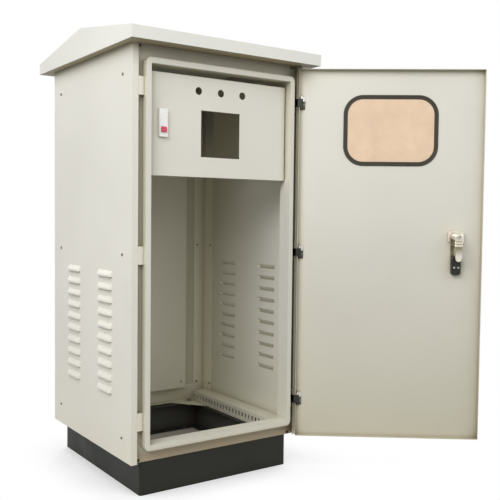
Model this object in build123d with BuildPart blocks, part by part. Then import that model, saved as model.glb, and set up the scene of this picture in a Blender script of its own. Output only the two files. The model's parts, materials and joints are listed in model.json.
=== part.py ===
"""Floor-standing outdoor cabinet: sheet-steel body on a plinth, gabled roof, hinged door, inner panel.

Millimetres. X runs along the front, the front faces -Y and Z is up. The origin lies on the floor in the
middle of the anchor bolts. The door is modelled shut and then swung open about its hinge pins.
"""
import os
from math import atan2, cos

from build123d import *

# Overall body
body_width = 600
body_depth = 600
body_height = 1200
sheet = 1.5
heavy_sheet = 2
overrun = 5
fit_gap = 0.3
hole_gap = 0.1
pin_gap = 0.05

# Hexagon bolts and nuts, as shares of the shank's diameter
bolt_head_height_share = 0.65
bolt_head_width_share = 1.6
nut_height_share = 0.8
bolt_end_share = 1.1

# Plinth
plinth_height = 100
plinth_side_inset = 36
plinth_end_inset = 16
plinth_wall = 3
plinth_flange = 40
plinth_corner_radius = 8
anchor_diameter = 14
anchor_side_margin = 64
base_bolt_diameter = 12
base_bolt_side_margin = 44

# Front frame: rolled lip, rain gutter behind it, deep inner return
lip_side_margin = 37.4
lip_top_margin = 42
lip_bottom_margin = 37
lip_width = 16
lip_proud = 13
lip_corner_radius = 15
opening_corner_radius = 4
gutter_depth = 15
return_depth = 50
frame_flange = 60
gutter_notch_width = 12
gutter_notch_height = 9

# Posts and rails
post_side_leg = 70
post_rear_leg = 42
rear_rail_height = 60
rear_rail_flange = 22
side_rail_height = 41
side_rail_reach = 64
side_rail_rear_gap = 44
rail_slot_width = 8
rail_slot_height = 15
rail_slot_pitch = 20
rail_slot_middle = 22
rail_top_hole_diameter = 5
gusset_width = 92
gusset_depth = 110

# Side panels and louvres
panel_flange = 19
louvre_count = 10
louvre_pitch = 38.7
louvre_length = 100
louvre_height = 18
louvre_proud = 9
louvre_end_slope = 7
louvre_lip_height = 6
louvre_edge_radius = 5
louvre_overlap = 3.5
louvre_column_spacing = 241
louvre_middle_above_bottom = 365
screw_inset_ends = 62
screw_end_margin_bottom = 66
screw_end_margin_top = 85
screw_head_diameter = 9
screw_head_height = 3
screw_diameter = 5
screw_length = 9

# Roof
roof_side_overhang = 31
roof_end_overhang = 59
roof_skirt = 6
fascia_height = 35
roof_rise = 56
soffit_gap = 3
bearer_side_margin = 100
bearer_width = 30
bearer_end_margin = 15
roof_bolt_diameter = 8
roof_bolt_end_margin = 120

# Mounting plate and its upright bars
plate_width = 404
plate_thickness = 2.5
plate_bottom_margin = 57
plate_top_margin = 78
bar_width = 30
bar_depth = 34.5
plate_bolt_diameter = 8
plate_bolt_edge_margin = 20
plate_bolt_end_margin = 23.5

# Instrument panel and its pivots
instrument_setback = 25
instrument_side_gap = 4.6
instrument_height = 296
instrument_top_gap = 17
instrument_edge = 18
pilot_hole_diameter = 22.5
pilot_hole_spacing = 78
pilot_hole_count = 3
pilot_hole_top_margin = 42
meter_cutout = 138
meter_top_margin = 167
pivot_pin_diameter = 5
pivot_pin_length = 9
pivot_edge_inset = 14
pivot_ear_margin = 8
pivot_ear_depth = 14
pivot_plate_height = 28
pivot_pin_head_diameter = 9
pivot_pin_head_height = 2

# Push latch of the instrument panel
latch_width = 27
latch_height = 81
latch_proud = 8
latch_edge_inset = 30
latch_top_margin = 104
latch_rim = 4
latch_body_depth = 20
latch_corner_radius = 2
button_width = 17
button_height = 15
button_proud = 3
button_depth = 8
button_travel = 3
button_side_inset = 5
button_bottom_inset = 13.5
tongue_height = 18
tongue_thickness = 5
tongue_reach = 6
tongue_length = 52

# Door
door_side_gap = 6
door_top_gap = 15
door_bottom_gap = 3
door_standoff = 9.5
door_return = 21
door_corner_radius = 2
door_open_angle = 142.7

# Door window
window_width = 302
window_height = 226
window_corner_radius = 63
window_below_door_top = 192.5
window_rubber_face = 13.5
window_rubber_lap = 6
window_rubber_proud = 3.5
pane_thickness = 4
pane_bite = 5

# Hinges
hinge_end_margin = 122
hinge_height = 40
pivot_inset = 7
barrel_radius = 4.5
hinge_pin_diameter = 5
hinge_pin_head_diameter = 8
hinge_pin_head_height = 2
arm_height = 24
arm_thickness = 3
arm_reach = 14
arm_foot_width = 13
arm_foot_height = 48
barrel_gap = 0.5
leaf_width = 12
leaf_relief = 5.5
hinge_notch_height = 30
hinge_notch_corner = 3
lug_width = 18
lug_height = 52
hinge_screw_spacing = 36
hinge_screw_diameter = 5
hinge_screw_head_diameter = 7
hinge_screw_head_height = 2.5

# Door lock
lock_edge_inset = 81
lock_above_middle = 55
spindle_diameter = 10
cam_width = 26
cam_reach = 78
cam_thickness = 4
cam_notch_margin = 6
cam_notch_depth = 18
cam_nut_size = 17
cam_nut_height = 6
boss_width = 51
boss_height = 36
boss_thickness = 10
boss_corner_radius = 6
boss_neck_diameter = 24
boss_neck_gap = 3
strap_width = 14
strap_edge_inset = 8
strap_thickness = 6
clamp_width = 30
clamp_height = 60
clamp_depth = 20
clamp_corner_radius = 9
clamp_edge_radius = 4
clamp_below_spindle = 92
clamp_screw_spacing = 13
clamp_screw_diameter = 7
clamp_screw_height = 2
clamp_screw_shank = 4
clamp_screw_below_middle = 6
escutcheon_width = 34
escutcheon_height = 190
escutcheon_thickness = 6
escutcheon_corner_radius = 14
escutcheon_edge_radius = 2
escutcheon_below_spindle = 62
handle_hub_diameter = 28
handle_hub_height = 14
handle_length = 128
handle_width = 20
handle_tip_width = 15
handle_thickness = 9
handle_edge_radius = 3

# Places worked out from the sizes above
half_width = body_width / 2
front = -body_depth / 2
rear = body_depth / 2
bottom = plinth_height
top = bottom + body_height
body_middle = (bottom + top) / 2
side_inner = half_width - sheet
rear_inner = rear - sheet
top_inner = top - sheet

lip_half_width = half_width - lip_side_margin
lip_bottom = bottom + lip_bottom_margin
lip_top = top - lip_top_margin
lip_front = front - lip_proud
opening_half_width = lip_half_width - lip_width
opening_bottom = lip_bottom + lip_width
opening_top = lip_top - lip_width
gutter_floor = front + gutter_depth
gutter_back = gutter_floor + sheet
return_rear = lip_front + return_depth
frame_rear = gutter_floor + frame_flange
panel_flange_edge = half_width - panel_flange
gutter_middle = (lip_half_width + panel_flange_edge) / 2

post_front = rear_inner - post_side_leg
post_edge = side_inner - post_rear_leg
post_face = rear_inner - heavy_sheet
rear_flange_edge = rear_inner - rear_rail_flange

door_half_width = half_width - door_side_gap
door_bottom = bottom + door_bottom_gap
door_top = top - door_top_gap
door_inner = lip_front - door_standoff
door_outer = door_inner - sheet
door_rear = door_outer + door_return
pivot_x = door_half_width - pivot_inset
pivot_y = door_outer + pivot_inset
door_axis = Axis((pivot_x, pivot_y, 0), (0, 0, 1))
hinge_heights = {
    "lower": bottom + hinge_end_margin,
    "middle": body_middle,
    "upper": top - hinge_end_margin,
}

lock_x = -door_half_width + lock_edge_inset
lock_z = body_middle + lock_above_middle
cam_back = return_rear - (cam_notch_depth - cam_thickness) / 2
cam_front = cam_back - cam_thickness


def block(x, y, z, mode=Mode.ADD):
    """A box between the (low, high) pairs x, y and z, in the part being built."""
    with Locations(((x[0] + x[1]) / 2, (y[0] + y[1]) / 2, (z[0] + z[1]) / 2)):
        Box(x[1] - x[0], y[1] - y[0], z[1] - z[0], mode=mode)


def outline(x, z, radius=0, mode=Mode.ADD):
    """A rectangle between the pairs x and z in the sketch being drawn, with its corners rounded."""
    with Locations(((x[0] + x[1]) / 2, (z[0] + z[1]) / 2)):
        if radius:
            RectangleRounded(x[1] - x[0], z[1] - z[0], radius, mode=mode)
        else:
            Rectangle(x[1] - x[0], z[1] - z[0], mode=mode)


def upright(y):
    """The upright sketch plane at depth y, with X to the right and Z up."""
    return Plane.XZ.offset(-y)


def ring(y, outer, inner, outer_radius=0, inner_radius=0, mode=Mode.ADD):
    """An upright ring between the depths y, from the (x, z) outline outer in to the outline inner."""
    with BuildSketch(upright(y[0])) as profile:
        outline(*outer, outer_radius)
        outline(*inner, inner_radius, mode=Mode.SUBTRACT)
    extrude(profile.sketch, amount=y[0] - y[1], mode=mode)


def slab(y, x, z, radius=0, mode=Mode.ADD):
    """An upright plate between the depths y with the (x, z) outline, its corners rounded."""
    with BuildSketch(upright(y[0])) as profile:
        outline(x, z, radius)
    extrude(profile.sketch, amount=y[0] - y[1], mode=mode)


def rod(start, end, radius, mode=Mode.ADD):
    """A round rod of the part being built from the point start to the point end."""
    run = Vector(*end) - Vector(*start)
    with BuildSketch(Plane(origin=start, z_dir=run.normalized())) as section:
        Circle(radius)
    extrude(section.sketch, amount=run.length, mode=mode)


def hexagon(start, end, across_flats):
    """A hexagonal head or nut of the part being built from the point start to the point end."""
    run = Vector(*end) - Vector(*start)
    with BuildSketch(Plane(origin=start, z_dir=run.normalized())) as section:
        RegularPolygon(across_flats / 2, side_count=6, major_radius=False)
    extrude(section.sketch, amount=run.length)


def around(middle, size):
    """The (low, high) pair of the length size about the place middle."""
    return (middle - size / 2, middle + size / 2)


def both_ways(reach):
    """The (low, high) pair that reaches as far to either side of the middle."""
    return (-reach, reach)


# Plinth: one folded ring with flanges turned in at the floor and under the body
plinth_half_width = half_width - plinth_side_inset
plinth_half_depth = rear - plinth_end_inset
anchor_row = plinth_half_depth - plinth_flange / 2
anchor_reach = plinth_half_width - anchor_side_margin
base_bolt_reach = plinth_half_width - base_bolt_side_margin
base_bolt_places = [
    (x, y) for x in both_ways(base_bolt_reach) for y in both_ways(anchor_row)
]
with BuildPart() as plinth:
    with BuildSketch():
        RectangleRounded(2 * plinth_half_width, 2 * plinth_half_depth, plinth_corner_radius)
    extrude(amount=plinth_height)
    block(
        both_ways(plinth_half_width - plinth_wall),
        both_ways(plinth_half_depth - plinth_wall),
        (plinth_wall, plinth_height - plinth_wall),
        Mode.SUBTRACT,
    )
    block(
        both_ways(plinth_half_width - plinth_flange),
        both_ways(plinth_half_depth - plinth_flange),
        (-overrun, plinth_height + overrun),
        Mode.SUBTRACT,
    )
    with BuildSketch():
        with GridLocations(2 * anchor_reach, 2 * anchor_row, 2, 2):
            Circle(anchor_diameter / 2)
    extrude(amount=plinth_wall, mode=Mode.SUBTRACT)
    with BuildSketch(Plane.XY.offset(plinth_height)):
        with Locations(*base_bolt_places):
            Circle(base_bolt_diameter / 2 + hole_gap)
    extrude(amount=-plinth_wall, mode=Mode.SUBTRACT)

# Front frame: lip, gutter, inner return and the flanges that the panels are screwed to
body_outline = (both_ways(side_inner), (bottom, top_inner))
flange_inner_outline = (both_ways(side_inner - sheet), (bottom + sheet, top_inner - sheet))
lip_outline = (both_ways(lip_half_width), (lip_bottom, lip_top))
lip_wall_outline = (
    both_ways(lip_half_width - sheet), (lip_bottom + sheet, lip_top - sheet)
)
opening_outline = (both_ways(opening_half_width), (opening_bottom, opening_top))
return_outline = (
    both_ways(opening_half_width + sheet), (opening_bottom - sheet, opening_top + sheet)
)
lip_inner_radius = lip_corner_radius - sheet
return_radius = opening_corner_radius + sheet
screw_depths = both_ways(rear - screw_inset_ends)
screw_front, screw_rear = screw_depths
screw_heights = [bottom + screw_end_margin_bottom, body_middle, top - screw_end_margin_top]
screw_hole_radius = screw_diameter / 2 + hole_gap
cam_sweep_height = (cam_reach**2 - (lock_x + opening_half_width) ** 2) ** 0.5
cam_notch = (lock_z - cam_sweep_height - cam_notch_margin, lock_z + cam_width / 2 + cam_notch_margin)

instrument_front = lip_front + instrument_setback
instrument_back = instrument_front + heavy_sheet
instrument_rear = instrument_front + instrument_edge
instrument_half_width = opening_half_width - instrument_side_gap
instrument_top = opening_top - instrument_top_gap
instrument_bottom = instrument_top - instrument_height
latch_left = -instrument_half_width + latch_edge_inset
latch_x = latch_left + latch_width / 2
latch_z = instrument_top - latch_top_margin - latch_height / 2
tongue_y = (instrument_back + instrument_rear) / 2
tongue_slot_y = around(tongue_y, tongue_thickness + 2 * fit_gap)
tongue_slot_z = around(latch_z, tongue_height + 2 * fit_gap)

with BuildPart() as front_frame:
    ring((gutter_floor, frame_rear), body_outline, flange_inner_outline)
    ring((gutter_floor, gutter_back), body_outline, lip_wall_outline, 0, lip_inner_radius)
    ring((lip_front, gutter_back), lip_outline, lip_wall_outline, lip_corner_radius, lip_inner_radius)
    ring(
        (lip_front, lip_front + sheet),
        lip_outline,
        opening_outline,
        lip_corner_radius,
        opening_corner_radius,
    )
    ring((lip_front, return_rear), return_outline, opening_outline, return_radius, opening_corner_radius)
    for x in both_ways(gutter_middle):
        for z in (bottom + sheet + gutter_notch_height / 2, top_inner - sheet - gutter_notch_height / 2):
            block(
                around(x, gutter_notch_width),
                (gutter_floor - overrun, gutter_back),
                around(z, gutter_notch_height),
                Mode.SUBTRACT,
            )
    for z in screw_heights:
        rod(
            (-half_width, screw_front, z),
            (half_width, screw_front, z),
            screw_hole_radius,
            Mode.SUBTRACT,
        )
    block(
        (-opening_half_width - overrun, -opening_half_width + overrun),
        (return_rear - cam_notch_depth, return_rear + overrun),
        cam_notch,
        Mode.SUBTRACT,
    )
    block(
        (-opening_half_width - overrun, -opening_half_width + overrun),
        tongue_slot_y,
        tongue_slot_z,
        Mode.SUBTRACT,
    )
    for x in both_ways(base_bolt_reach):
        rod(
            (x, -anchor_row, bottom - overrun),
            (x, -anchor_row, bottom + sheet + overrun),
            base_bolt_diameter / 2 + hole_gap,
            Mode.SUBTRACT,
        )

# Hinge lugs: folded channels in the gutter, on both sides, those on the right drilled for the hinges
with BuildPart() as hinge_lugs:
    for z in hinge_heights.values():
        block(around(gutter_middle, lug_width), (front, gutter_floor), around(z, lug_height))
        block(
            around(gutter_middle, lug_width + overrun),
            (front + heavy_sheet, gutter_floor + overrun),
            around(z, lug_height - 2 * heavy_sheet),
            Mode.SUBTRACT,
        )

hinge_screw_x = gutter_middle - arm_foot_width / 4
with BuildPart() as hinge_lugs_right:
    add(hinge_lugs.part)
    for z in hinge_heights.values():
        for side in both_ways(hinge_screw_spacing / 2):
            rod(
                (hinge_screw_x, front - overrun, z + side),
                (hinge_screw_x, front + heavy_sheet, z + side),
                hinge_screw_diameter / 2 + hole_gap,
                Mode.SUBTRACT,
            )

with BuildPart() as hinge_lugs_left:
    mirror(hinge_lugs.part, about=Plane.YZ)

# Rear corner posts: angles behind the side and back panels
with BuildPart() as rear_post_right:
    block((side_inner - heavy_sheet, side_inner), (post_front, rear_inner), (bottom, top_inner))
    block((post_edge, side_inner), (post_face, rear_inner), (bottom, top_inner))
    for z in screw_heights:
        rod(
            (post_edge, screw_rear, z),
            (half_width, screw_rear, z),
            screw_hole_radius,
            Mode.SUBTRACT,
        )
        rod(
            (half_width - screw_inset_ends / 2, post_front, z),
            (half_width - screw_inset_ends / 2, rear, z),
            screw_hole_radius,
            Mode.SUBTRACT,
        )

with BuildPart() as rear_post_left:
    mirror(rear_post_right.part, about=Plane.YZ)

# Rear rails: angles between the posts
with BuildPart() as rear_rail_bottom:
    block(both_ways(post_edge), (post_face, rear_inner), (bottom, bottom + rear_rail_height))
    block(both_ways(post_edge), (rear_flange_edge, rear_inner), (bottom, bottom + heavy_sheet))

with BuildPart() as rear_rail_top:
    block(both_ways(post_edge), (post_face, rear_inner), (top_inner - rear_rail_height, top_inner))
    block(both_ways(post_edge), (rear_flange_edge, rear_inner), (top_inner - heavy_sheet, top_inner))

# Side rails: channels along the sides from the front frame past the rear posts, the lower pair slotted
side_rail_inner = half_width - side_rail_reach
side_rail_outer = side_inner - heavy_sheet
side_rail_rear = rear - side_rail_rear_gap
side_rail_middle = (side_rail_rear + frame_rear) / 2
rail_slot_count = int((side_rail_rear - frame_rear) / rail_slot_pitch)


def side_rail(low, high):
    """A channel open towards the side panel, between the heights low and high."""
    block((side_rail_inner, side_rail_outer), (frame_rear, side_rail_rear), (low, high))
    block(
        (side_rail_inner + heavy_sheet, side_rail_outer + overrun),
        (frame_rear - overrun, side_rail_rear + overrun),
        (low + heavy_sheet, high - heavy_sheet),
        Mode.SUBTRACT,
    )


with BuildPart() as side_rail_right:
    side_rail(bottom, bottom + side_rail_height)
    with BuildSketch(Plane.YZ.offset(side_rail_inner)):
        with Locations((side_rail_middle, bottom + rail_slot_middle)):
            with GridLocations(rail_slot_pitch, rail_slot_pitch, rail_slot_count, 1):
                Rectangle(rail_slot_width, rail_slot_height)
    extrude(amount=heavy_sheet, mode=Mode.SUBTRACT)
    with BuildSketch(Plane.XY.offset(bottom + side_rail_height)):
        with Locations(((side_rail_inner + side_rail_outer) / 2, side_rail_middle)):
            with GridLocations(rail_slot_pitch, rail_slot_pitch, 1, rail_slot_count):
                Circle(rail_top_hole_diameter / 2)
    extrude(amount=-heavy_sheet, mode=Mode.SUBTRACT)

with BuildPart() as side_rail_left:
    mirror(side_rail_right.part, about=Plane.YZ)

with BuildPart() as top_rail_right:
    side_rail(top_inner - side_rail_height, top_inner)

with BuildPart() as top_rail_left:
    mirror(top_rail_right.part, about=Plane.YZ)

# Floor gussets: plates that close the rear corners of the floor around the posts, bolted to the plinth
with BuildPart() as floor_gusset_right:
    with BuildSketch(Plane.XY.offset(bottom)):
        with BuildLine():
            Polyline(
                (side_rail_inner - gusset_width, rear_flange_edge),
                (post_edge, rear_flange_edge),
                (post_edge, post_face),
                (side_rail_outer, post_face),
                (side_rail_outer, side_rail_rear),
                (side_rail_inner, side_rail_rear),
                (side_rail_inner, rear_flange_edge - gusset_depth),
                close=True,
            )
        make_face()
        with Locations((base_bolt_reach, anchor_row)):
            Circle(base_bolt_diameter / 2 + hole_gap, mode=Mode.SUBTRACT)
    extrude(amount=heavy_sheet)

with BuildPart() as floor_gusset_left:
    mirror(floor_gusset_right.part, about=Plane.YZ)

# One louvre: a pressed hood, and the hollow under it that opens downwards over the slot in the panel
louvre_low = -louvre_height / 2


def hood(plane, inset, low, outer_plane):
    """A hood from its foot on plane to its narrower lip on outer_plane, drawn in by inset."""
    with BuildSketch(plane) as foot:
        outline(both_ways(louvre_length / 2 - inset), (low, louvre_height / 2 - inset))
    with BuildSketch(outer_plane) as lip:
        outline(
            both_ways(louvre_length / 2 - louvre_end_slope - inset),
            (low, louvre_low + louvre_lip_height - inset / 2),
        )
    loft([foot.sketch, lip.sketch])


with BuildPart() as louvre_hood:
    hood(Plane.YZ.offset(half_width), 0, louvre_low, Plane.YZ.offset(half_width + louvre_proud))
    raised_edges = louvre_hood.edges().filter_by(
        lambda edge: edge.center().X > half_width + hole_gap and edge.center().Z > louvre_low + hole_gap
    )
    fillet(raised_edges, louvre_edge_radius)
with BuildPart() as louvre_hollow:
    hood(
        Plane.YZ.offset(half_width),
        sheet,
        louvre_low - hole_gap,
        Plane.YZ.offset(half_width + louvre_proud - sheet),
    )
    block(
        (side_inner, half_width),
        both_ways(louvre_length / 2 - sheet),
        (louvre_low + louvre_overlap, louvre_height / 2 - sheet),
    )

# Side panels: sheet with a front flange, two columns of louvres and the screw holes
louvre_places = [
    (0, y, bottom + louvre_middle_above_bottom + (row - (louvre_count - 1) / 2) * louvre_pitch)
    for y in both_ways(louvre_column_spacing / 2)
    for row in range(louvre_count)
]
with BuildPart() as side_panel_right:
    block((side_inner, half_width), (front, rear), (bottom, top))
    block((panel_flange_edge, half_width), (front, front + sheet), (bottom, top))
    with Locations(*louvre_places):
        add(louvre_hood.part)
    with Locations(*louvre_places):
        add(louvre_hollow.part, mode=Mode.SUBTRACT)
    for y in screw_depths:
        for z in screw_heights:
            rod((post_edge, y, z), (half_width + overrun, y, z), screw_hole_radius, Mode.SUBTRACT)

with BuildPart() as side_panel_left:
    mirror(side_panel_right.part, about=Plane.YZ)


def panel_screw(start, outward):
    """A pan-head screw whose head rests at start and points outward."""
    head_top = Vector(*start) + Vector(*outward) * screw_head_height
    tip = Vector(*start) - Vector(*outward) * screw_length
    rod(start, tuple(head_top), screw_head_diameter / 2)
    rod(start, tuple(tip), screw_diameter / 2)


with BuildPart() as side_screws_right:
    for y in screw_depths:
        for z in screw_heights:
            panel_screw((half_width, y, z), (1, 0, 0))

with BuildPart() as side_screws_left:
    mirror(side_screws_right.part, about=Plane.YZ)

# Back panel between the side panels, screwed to the posts
with BuildPart() as back_panel:
    block(both_ways(side_inner), (rear_inner, rear), (bottom, top_inner))
    for x in both_ways(half_width - screw_inset_ends / 2):
        for z in screw_heights:
            rod((x, post_front, z), (x, rear + overrun, z), screw_hole_radius, Mode.SUBTRACT)

with BuildPart() as back_screws:
    for x in both_ways(half_width - screw_inset_ends / 2):
        for z in screw_heights:
            panel_screw((x, rear, z), (0, 1, 0))

# Top panel under the roof
bearer_x = half_width - bearer_side_margin
roof_bolt_y = rear - roof_bolt_end_margin
roof_bolt_places = [(x, y) for x in both_ways(bearer_x) for y in both_ways(roof_bolt_y)]
with BuildPart() as top_panel:
    block(both_ways(side_inner), (gutter_floor, rear), (top_inner, top))
    for x, y in roof_bolt_places:
        rod(
            (x, y, top_inner - overrun),
            (x, y, top + overrun),
            roof_bolt_diameter / 2 + hole_gap,
            Mode.SUBTRACT,
        )

# Roof: two slopes, fascias and gable ends folded from one sheet, with the lower edge turned in
roof_half_width = half_width + roof_side_overhang
roof_half_depth = rear + roof_end_overhang
roof_bottom = top - roof_skirt
fascia_top = roof_bottom + fascia_height
ridge_top = fascia_top + roof_rise
roof_slope = roof_rise / roof_half_depth
slope_sheet = sheet / cos(atan2(roof_rise, roof_half_depth))


def gable(half_depth, low, drop):
    """The gable outline of half_depth from the height low up to the roof lowered by drop."""
    eaves = ridge_top - drop - roof_slope * half_depth
    with BuildSketch(Plane.YZ) as profile:
        with BuildLine():
            Polyline(
                (-half_depth, low),
                (half_depth, low),
                (half_depth, eaves),
                (0, ridge_top - drop),
                (-half_depth, eaves),
                close=True,
            )
        make_face()
    return profile.sketch


with BuildPart() as roof:
    extrude(gable(roof_half_depth, roof_bottom, 0), amount=roof_half_width, both=True)
    extrude(
        gable(roof_half_depth - sheet, roof_bottom + sheet, slope_sheet),
        amount=roof_half_width - sheet,
        both=True,
        mode=Mode.SUBTRACT,
    )
    block(
        both_ways(half_width + soffit_gap),
        both_ways(rear + soffit_gap),
        (roof_bottom - overrun, roof_bottom + sheet),
        Mode.SUBTRACT,
    )

# Roof bearers: gable-shaped channels bolted to the top panel
bearer_half_depth = rear - bearer_end_margin
slope_heavy = slope_sheet * (1 + heavy_sheet / sheet)


def bearer(x):
    """A gable-shaped channel centred on x, from the top panel to the underside of the roof."""
    low = x - bearer_width / 2
    extrude(
        Pos(low, 0, 0) * gable(bearer_half_depth, top, slope_sheet),
        amount=bearer_width,
    )
    extrude(
        Pos(low + heavy_sheet, 0, 0)
        * gable(bearer_half_depth + overrun, top + heavy_sheet, slope_heavy),
        amount=bearer_width,
        mode=Mode.SUBTRACT,
    )
    for y in both_ways(roof_bolt_y):
        rod(
            (x, y, top - overrun),
            (x, y, top + heavy_sheet + overrun),
            roof_bolt_diameter / 2 + hole_gap,
            Mode.SUBTRACT,
        )


with BuildPart() as roof_bearer_right:
    bearer(bearer_x)

with BuildPart() as roof_bearer_left:
    bearer(-bearer_x)


def bolt(seat, tip, diameter):
    """A hexagon bolt whose head bears on the point seat and whose shank ends at the point tip."""
    run = (Vector(*tip) - Vector(*seat)).normalized()
    head = Vector(*seat) - run * (diameter * bolt_head_height_share)
    hexagon(tuple(head), seat, diameter * bolt_head_width_share)
    rod(seat, tip, diameter / 2)


def nut(seat, top_point, diameter):
    """A hexagon nut from the point seat to the point top_point around a shank of the diameter."""
    hexagon(seat, top_point, diameter * bolt_head_width_share)
    rod(seat, top_point, diameter / 2 + pin_gap, Mode.SUBTRACT)


with BuildPart() as roof_bolts:
    for x, y in roof_bolt_places:
        bolt(
            (x, y, top_inner),
            (x, y, top + heavy_sheet + roof_bolt_diameter * bolt_end_share),
            roof_bolt_diameter,
        )

with BuildPart() as roof_nuts:
    for x, y in roof_bolt_places:
        seat = top + heavy_sheet
        nut((x, y, seat), (x, y, seat + roof_bolt_diameter * nut_height_share), roof_bolt_diameter)

with BuildPart() as plinth_bolts:
    for x, y in base_bolt_places:
        seat = bottom + (sheet if y < 0 else heavy_sheet)
        bolt(
            (x, y, seat),
            (x, y, bottom - plinth_wall - base_bolt_diameter * bolt_end_share),
            base_bolt_diameter,
        )

with BuildPart() as plinth_nuts:
    for x, y in base_bolt_places:
        seat = bottom - plinth_wall
        nut((x, y, seat), (x, y, seat - base_bolt_diameter * nut_height_share), base_bolt_diameter)

# Mounting plate on two upright bars between the rear rails, bolted from behind so that its face stays clear
bar_front = rear_inner - bar_depth
bar_span = (bottom + rear_rail_height, top_inner - rear_rail_height)
plate_bottom = bottom + plate_bottom_margin
plate_top = top - plate_top_margin
plate_front = bar_front - plate_thickness
plate_bolt_reach = plate_width / 2 - plate_bolt_edge_margin
plate_bolt_heights = (plate_bottom + plate_bolt_end_margin, plate_top - plate_bolt_end_margin)
plate_hole_radius = plate_bolt_diameter / 2 + hole_gap

with BuildPart() as plate_bar_right:
    block(around(plate_bolt_reach, bar_width), (bar_front, rear_inner), bar_span)
    block(
        around(plate_bolt_reach, bar_width - 2 * heavy_sheet),
        (bar_front + heavy_sheet, rear_inner + overrun),
        (bar_span[0] - overrun, bar_span[1] + overrun),
        Mode.SUBTRACT,
    )
    for z in plate_bolt_heights:
        rod(
            (plate_bolt_reach, bar_front - overrun, z),
            (plate_bolt_reach, bar_front + overrun, z),
            plate_hole_radius,
            Mode.SUBTRACT,
        )

with BuildPart() as plate_bar_left:
    mirror(plate_bar_right.part, about=Plane.YZ)

with BuildPart() as mounting_plate:
    block(both_ways(plate_width / 2), (plate_front, bar_front), (plate_bottom, plate_top))
    for x in both_ways(plate_bolt_reach):
        for z in plate_bolt_heights:
            rod((x, plate_front, z), (x, bar_front, z), plate_hole_radius, Mode.SUBTRACT)

with BuildPart() as plate_bolts:
    for x in both_ways(plate_bolt_reach):
        for z in plate_bolt_heights:
            bolt((x, bar_front + heavy_sheet, z), (x, plate_front + fit_gap, z), plate_bolt_diameter)

# Instrument panel: a tray-shaped inner door with cut-outs, pivoted on the right and latched on the left
pivot_pin_x = instrument_half_width - pivot_edge_inset
pivot_ear_y = around(tongue_y, pivot_ear_depth)
pivot_ears = {
    "lower": (instrument_bottom + heavy_sheet + fit_gap, instrument_bottom + 2 * heavy_sheet + fit_gap),
    "upper": (instrument_top - 2 * heavy_sheet - fit_gap, instrument_top - heavy_sheet - fit_gap),
}
pilot_hole_z = instrument_top - pilot_hole_top_margin
meter_z = instrument_top - meter_top_margin
latch_body_width = latch_width - 2 * latch_rim
latch_body_height = latch_height - 2 * latch_rim

with BuildPart() as instrument_panel:
    block(
        both_ways(instrument_half_width),
        (instrument_front, instrument_rear),
        (instrument_bottom, instrument_top),
    )
    block(
        both_ways(instrument_half_width - heavy_sheet),
        (instrument_back, instrument_rear + overrun),
        (instrument_bottom + heavy_sheet, instrument_top - heavy_sheet),
        Mode.SUBTRACT,
    )
    with BuildSketch(upright(instrument_front)):
        with Locations((0, pilot_hole_z)):
            with GridLocations(pilot_hole_spacing, pilot_hole_spacing, pilot_hole_count, 1):
                Circle(pilot_hole_diameter / 2)
        with Locations((0, meter_z)):
            Rectangle(meter_cutout, meter_cutout)
        with Locations((latch_x, latch_z)):
            Rectangle(latch_body_width, latch_body_height)
    extrude(amount=-heavy_sheet, mode=Mode.SUBTRACT)
    block(
        (-instrument_half_width - overrun, -instrument_half_width + overrun),
        tongue_slot_y,
        tongue_slot_z,
        Mode.SUBTRACT,
    )
    for low, high in pivot_ears.values():
        block(
            (instrument_half_width - heavy_sheet, instrument_half_width + overrun),
            (pivot_ear_y[0] - fit_gap, instrument_rear + overrun),
            (low - fit_gap, high + fit_gap),
            Mode.SUBTRACT,
        )
    rod(
        (pivot_pin_x, tongue_y, instrument_bottom - overrun),
        (pivot_pin_x, tongue_y, instrument_top + overrun),
        pivot_pin_diameter / 2 + pin_gap,
        Mode.SUBTRACT,
    )

with BuildPart() as pivot_brackets:
    for name, (low, high) in pivot_ears.items():
        plate = (low, low + pivot_plate_height) if name == "lower" else (high - pivot_plate_height, high)
        block((pivot_pin_x - pivot_ear_margin, opening_half_width), pivot_ear_y, (low, high))
        block((opening_half_width - heavy_sheet, opening_half_width), pivot_ear_y, plate)
    rod(
        (pivot_pin_x, tongue_y, instrument_bottom),
        (pivot_pin_x, tongue_y, instrument_top),
        pivot_pin_diameter / 2 + pin_gap,
        Mode.SUBTRACT,
    )

with BuildPart() as pivot_pins:
    for seat, way in ((instrument_bottom, 1), (instrument_top, -1)):
        rod(
            (pivot_pin_x, tongue_y, seat),
            (pivot_pin_x, tongue_y, seat - way * pivot_pin_head_height),
            pivot_pin_head_diameter / 2,
        )
        rod(
            (pivot_pin_x, tongue_y, seat),
            (pivot_pin_x, tongue_y, seat + way * pivot_pin_length),
            pivot_pin_diameter / 2,
        )

# Push latch: housing through the panel, a button in its pocket and a tongue behind the frame's return
latch_face = instrument_front - latch_proud
button_x = latch_left + button_side_inset + button_width / 2
button_z = latch_z - latch_height / 2 + button_bottom_inset + button_height / 2
button_front = latch_face - button_proud
button_back = button_front + button_depth
tongue_tip = -opening_half_width - sheet - tongue_reach
tongue_end = tongue_tip + tongue_length

with BuildPart() as latch_housing:
    slab(
        (latch_face, instrument_front),
        around(latch_x, latch_width),
        around(latch_z, latch_height),
        latch_corner_radius,
    )
    block(
        around(latch_x, latch_body_width - 2 * fit_gap),
        (instrument_front, instrument_front + latch_body_depth),
        around(latch_z, latch_body_height - 2 * fit_gap),
    )
    block(
        around(button_x, button_width + 2 * fit_gap),
        (latch_face - overrun, button_back + button_travel + fit_gap),
        around(button_z, button_height + 2 * fit_gap),
        Mode.SUBTRACT,
    )
    block((tongue_tip, tongue_end + fit_gap), tongue_slot_y, tongue_slot_z, Mode.SUBTRACT)

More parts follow.
